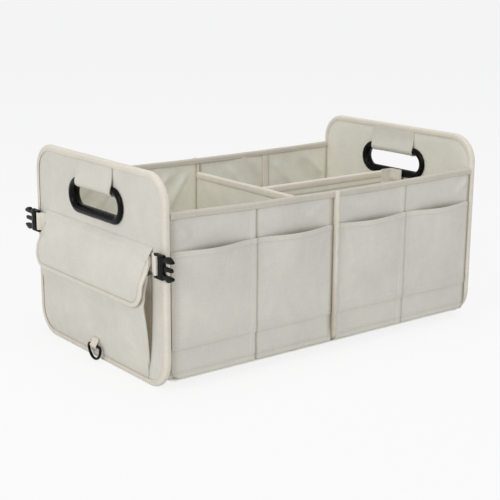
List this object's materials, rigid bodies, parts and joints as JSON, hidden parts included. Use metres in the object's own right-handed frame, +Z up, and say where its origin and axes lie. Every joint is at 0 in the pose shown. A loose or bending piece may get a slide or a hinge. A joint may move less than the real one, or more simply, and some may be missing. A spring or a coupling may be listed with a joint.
{
  "type": "trunk organizer",
  "caption": "Folding car trunk organizer of stiffened off-white cloth: two handled end panels, side pockets, a flapped end pocket and inner dividers.",
  "frame": {"origin": "on the floor, below the middle of the bounding box", "axes": "+X along the length, away from the flapped pocket; +Y across; +Z up"},
  "size_m": [0.5838, 0.38, 0.277],
  "materials": {
    "cloth": "matte",
    "lining": "matte",
    "binding": "matte",
    "webbing": "matte",
    "fastener_tape": "matte",
    "stiffener": "matte",
    "black_plastic": "satin"
  },
  "bodies": {
    "root": {"base_board_left": "stiffener", "base_board_right": "stiffener", "base_cloth": "lining", "centre_seam_back": "binding", "centre_seam_front": "binding", "cross_divider_board": "stiffener", "cross_divider_cover": "lining", "d_ring_tab": "binding", "end_binding_left": "binding", "end_binding_right": "binding", "end_panel_left_board": "stiffener", "end_panel_left_cloth": "cloth", "end_panel_left_lining": "lining", "end_panel_right_board": "stiffener", "end_panel_right_cloth": "cloth", "end_panel_right_lining": "lining", "end_pocket": "cloth", "flap_seam_strip": "cloth", "handle_left_inner": "black_plastic", "handle_left_outer": "black_plastic", "handle_right_inner": "black_plastic", "handle_right_outer": "black_plastic", "handle_strap_left": "cloth", "handle_strap_right": "cloth", "long_divider_board": "stiffener", "long_divider_cover": "lining", "long_divider_tab": "fastener_tape", "pocket_loop_strip": "fastener_tape", "side_binding_back": "binding", "side_binding_front": "binding", "side_board_back_left_centre": "stiffener", "side_board_back_left_end": "stiffener", "side_board_back_right_centre": "stiffener", "side_board_back_right_end": "stiffener", "side_board_front_left_centre": "stiffener", "side_board_front_left_end": "stiffener", "side_board_front_right_centre": "stiffener", "side_board_front_right_end": "stiffener", "side_cloth_back_left": "cloth", "side_cloth_back_right": "cloth", "side_cloth_front_left": "cloth", "side_cloth_front_right": "cloth", "side_lining_back_left": "lining", "side_lining_back_right": "lining", "side_lining_front_left": "lining", "side_lining_front_right": "lining", "side_pocket_back_left": "cloth", "side_pocket_back_right": "cloth", "side_pocket_front_left": "cloth", "side_pocket_front_right": "cloth", "webbing_female_back": "webbing", "webbing_female_front": "webbing", "webbing_male_back": "webbing", "webbing_male_front": "webbing"},
    "flap": {"pocket_flap": "cloth"},
    "ring": {"d_ring": "black_plastic"},
    "male_front": {"buckle_male_front": "black_plastic"},
    "male_back": {"buckle_male_back": "black_plastic"},
    "female_front": {"buckle_female_front": "black_plastic"},
    "female_back": {"buckle_female_back": "black_plastic"}
  },
  "joints": [
    {"name": "flap_hinge", "type": "hinge", "parent": "root", "child": "flap", "pos_m": [-0.27309, 0, 0.173], "axis": [0, 1, 0], "range_deg": [0, 140]},
    {"name": "ring_swing", "type": "hinge", "parent": "root", "child": "ring", "pos_m": [-0.27679, 0, 0.021], "axis": [0, 1, 0], "range_deg": [-14, 120]},
    {"name": "male_front_pivot", "type": "hinge", "parent": "root", "child": "male_front", "pos_m": [-0.27459, -0.152, 0.165], "axis": [0, 0, -1], "range_deg": [0, 100]},
    {"name": "male_back_pivot", "type": "hinge", "parent": "root", "child": "male_back", "pos_m": [-0.27459, 0.152, 0.165], "axis": [0, 0, 1], "range_deg": [0, 100]},
    {"name": "female_front_pivot", "type": "hinge", "parent": "root", "child": "female_front", "pos_m": [0.28741, -0.108, 0.165], "axis": [0, 0, 1], "range_deg": [0, 100]},
    {"name": "female_back_pivot", "type": "hinge", "parent": "root", "child": "female_back", "pos_m": [0.28741, 0.108, 0.165], "axis": [0, 0, -1], "range_deg": [0, 100]}
  ]
}
